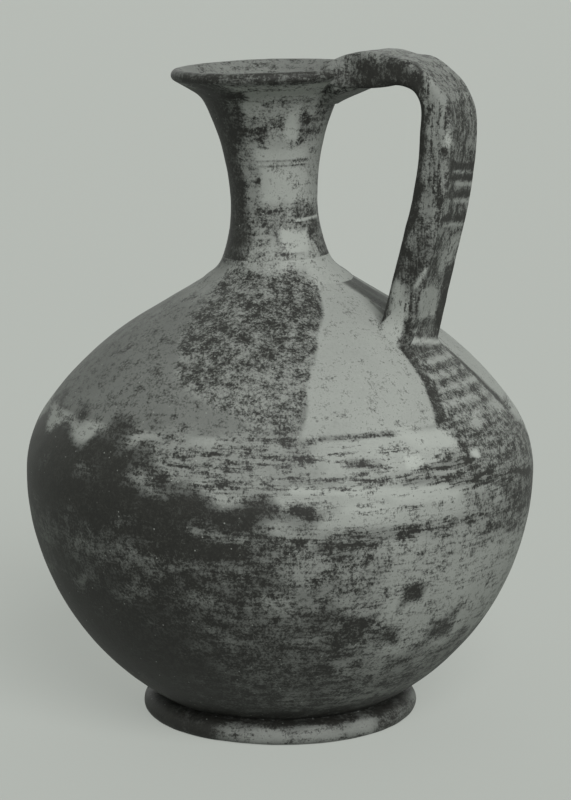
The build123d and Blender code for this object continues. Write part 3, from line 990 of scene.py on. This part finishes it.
# Handle top luting: a lump of soft clay pressed into the corner under the lip, below the strap's near end,
# and smoothed out along the strap, so that its underside runs up into the arm in one hollow curve.
pad_start = 11.0
pad_end = -15.0
pad_width = 22.4
pad_thickness = 10.8
pad_spacing = 1.0
pad_sunk = 0.5
pad_fall = 6.0
pad_fall_start = 10.5
pad_fall_run = 26.5
pad_spread_start = 2.6
pad_spread_share = 0.75
pad_narrowing = 10.0
pad_narrowing_start = -4.0


def pad_middle(along):
    """Where the pad's middle lies below the arm's line: it falls away towards the neck."""
    return -pad_sunk - pad_fall * (max(pad_fall_start - along, 0) / pad_fall_run) ** 2


def pad_breadth(along):
    """The pad's width, which spreads with the strap's nose and narrows down to the neck."""
    spread = pad_spread_share * nose_spread * ease((pad_spread_start - along) / nose_spread_run)
    share = (pad_narrowing_start - along) / (pad_narrowing_start - pad_end)
    return pad_width + spread - pad_narrowing * ease(share)


pad = rounded_bar("handle_top_pad", pad_width, pad_thickness)
bpy.ops.transform.translate(value=(pad_start * MM, pad_middle(pad_start) * MM, 0))
rows = ceil((pad_start - pad_end) / pad_spacing)
stations = [pad_start + (pad_end - pad_start) * i / rows for i in range(rows + 1)]
for here, there in zip(stations, stations[1:]):
    draw_out(there - here, 1, pad_breadth(there) / pad_breadth(here), pad_middle(here), pad_middle(there))
close_bar(pad)
record_wear(pad, strap_skin(pad, 0.48, 0.22))
take(pad)
pad.rotation_euler = (radians(90), radians(-arm_rise), 0)
pad.location = (arm_start[0] * MM, 0, arm_start[1] * MM)
bpy.ops.object.transform_apply(location=True, rotation=True, scale=False)
handle_wet(pad, size=8, depth=0.3)
dress(pad, handle_slip, "handle_top_luting")


# Handle root luting: soft clay smeared round the strap's lower end and wiped down on to the shoulder,
# hollow like a fillet. Its toe is thumbed out on the shoulder and shades over into it without an edge.
collar_height = 14.0
collar_reach = 7.5
collar_depth_radius = 14.4
collar_edge = -0.8
collar_rows = 18
collar_forward = 0.65
toe_start = 0.3
toe_sink = 0.4
shoulder_rise = degrees(asin((handle_root[1] - shoulder_centre[1]) / shoulder_arc_radius))
collar_lay = shoulder_rise - 180 - drop_heading


def collar_growth(depth):
    """How far the collar stands off the strap at a depth below its upper edge."""
    share = min(depth / collar_depth_radius, 1)
    return collar_edge + collar_reach * (1 - sqrt(1 - share**2))


def collar_size(depth):
    """The collar's thickness and width at a depth, laid over to meet the slope of the shoulder."""
    turn = radians(collar_lay) * depth / collar_height
    growth = 2 * collar_growth(depth)
    return (root_thickness + growth) / cos(turn), root_width + growth


collar = rounded_bar("handle_root_collar", root_width, root_thickness)
bpy.ops.object.mode_set(mode="OBJECT")
ring_points = len(collar.data.vertices)
bpy.ops.object.mode_set(mode="EDIT")
bpy.ops.transform.translate(value=((root_along - collar_height) * MM, 0, 0))
depths = [collar_height * i / collar_rows for i in range(collar_rows + 1)]
thickness, width = collar_size(0)
bpy.ops.transform.resize(
    value=(1, thickness / root_thickness, width / root_width), center_override=(0, 0, 0)
)
for here, there in zip(depths, depths[1:]):
    (thickness, width), (next_thickness, next_width) = collar_size(here), collar_size(there)
    out, next_out = [collar_forward * max(collar_growth(depth), 0) for depth in (here, there)]
    middle = (root_along - collar_height + there) * MM
    draw_out(there - here, next_thickness / thickness, next_width / width, out, next_out)
    bpy.ops.transform.rotate(
        value=radians(-collar_lay) * (there - here) / collar_height,
        orient_axis="Z",
        center_override=(middle, next_out * MM, 0),
    )
close_bar(collar)
skin = strap_skin(collar, 0.14, 0.05)
brush_areas(skin, [
    ([(-90, 115), (64, 115), (66, 128), (56, 136), (54, 150), (-90, 150)], 1.6, 0.72, 0.38, 0.2),
    (bare_window, 1.4, 0.12, 0.12, 0.3),
    ([(-18, 111), (-80, 109), (-80, 150), (-26, 150), (-22, 130)], 1.4, 0.92, 0.5, 0.1),
    # Painted shade: the collar's inner side, towards the neck, is laid darker, like the strap's inner face.
    *both_flanks([(124, 110), (242, 110), (242, 150), (124, 150)], 4, 0.28, 0.24, 0.3),
])
for bar in light_bars:
    stroke(skin, bar, 1.5, 1.0, 0.10, 0.0, 0.2)
record_wear(collar, skin)
toe = collar.vertex_groups.new(name="toe")
for row in range(collar_rows + 1):
    ring = list(range(row * ring_points, (row + 1) * ring_points))
    toe.add(ring, ease((row / collar_rows - toe_start) / (1 - toe_start)), "REPLACE")
bend(collar)
settle = collar.modifiers.new("settle", "SHRINKWRAP")
settle.target = halves[1]
settle.wrap_mode = "ABOVE_SURFACE"
settle.offset = -toe_sink * MM
settle.vertex_group = "toe"
bpy.ops.object.modifier_apply(modifier=settle.name)
wipe = collar.modifiers.new("wipe", "DATA_TRANSFER")
wipe.object = halves[1]
wipe.use_loop_data = True
wipe.data_types_loops = {"CUSTOM_NORMAL"}
wipe.loop_mapping = "POLYINTERP_NEAREST"
wipe.vertex_group = "toe"
bpy.ops.object.modifier_apply(modifier=wipe.name)
dress(collar, handle_slip, "handle_root_luting")


# Floor, light and camera: the jug stands on a pale sheet of paper that runs on behind it as the backdrop.
# A broad window high up at the right lights it softly, and a white wall behind fills its far side a little.
backdrop_grey = (0.690, 0.728, 0.676)
paper_grey = (0.335, 0.352, 0.331)
paper_share = 0.54
camera_side = 30.0
camera_tilt = 11.21
camera_place = (0.50005, -0.86206, 0.31577)
film_size = 36
lens_length = 122.4
room_light = 0.22
scene = bpy.context.scene


def seen_rays(material):
    """1 for the rays that the camera, a gloss or a glass sends out, and 0 for the light itself."""
    path = add_node(material, "ShaderNodeLightPath", {})
    total = path.outputs["Is Camera Ray"]
    for kind in ("Is Glossy Ray", "Is Transmission Ray"):
        total = reckon(material, "MAXIMUM", total, path.outputs[kind])
    return total


bpy.ops.mesh.primitive_plane_add(size=40)
floor = bpy.context.object
floor.name = "studio_floor"
floor_paper = bpy.data.materials.new("pale_paper")
floor_paper.use_nodes = True
paper = floor_paper.node_tree.nodes["Principled BSDF"]
paper.inputs["Base Color"].default_value = (*paper_grey, 1)
paper.inputs["Roughness"].default_value = 0.95
paper.inputs["Specular IOR Level"].default_value = 0.1
glow = add_node(floor_paper, "ShaderNodeEmission", {"Color": (*backdrop_grey, 1), "Strength": 1.0})
share = reckon(floor_paper, "MULTIPLY", seen_rays(floor_paper), 1 - paper_share)
sheet = add_node(floor_paper, "ShaderNodeMixShader", {0: share, 1: paper.outputs[0], 2: glow.outputs[0]})
floor_paper.node_tree.links.new(
    sheet.outputs[0], floor_paper.node_tree.nodes["Material Output"].inputs["Surface"]
)
floor.data.materials.append(floor_paper)

for name, strength, breadth, height, side in (
    ("window", 2.5, 36, 36, 20),
    ("white_wall", 0.9, 70, 12, 180),
):
    light = bpy.data.lights.new(name, "SUN")
    light.energy = strength
    light.angle = radians(breadth)
    lamp = bpy.data.objects.new(name, light)
    scene.collection.objects.link(lamp)
    lamp.rotation_euler = (radians(90 - height), 0, radians(camera_side + side))
sky = bpy.data.worlds.new("studio")
scene.world = sky
sky.use_nodes = True
room = sky.node_tree.nodes["Background"]
room.inputs["Color"].default_value = (0.97, 1.0, 0.97, 1)
room.inputs["Strength"].default_value = room_light
backdrop = add_node(sky, "ShaderNodeBackground", {"Color": (*backdrop_grey, 1), "Strength": 1.0})
both = add_node(sky, "ShaderNodeMixShader", {0: seen_rays(sky), 1: room.outputs[0], 2: backdrop.outputs[0]})
sky.node_tree.links.new(both.outputs[0], sky.node_tree.nodes["World Output"].inputs["Surface"])

lens = bpy.data.cameras.new("camera")
lens.sensor_fit = "VERTICAL"
lens.sensor_height = lens.sensor_width = film_size
lens.lens = lens_length
camera = bpy.data.objects.new("camera", lens)
camera.location = camera_place
camera.rotation_euler = (radians(90 - camera_tilt), 0, radians(camera_side))
scene.collection.objects.link(camera)
scene.camera = camera
scene.view_settings.view_transform = "Standard"
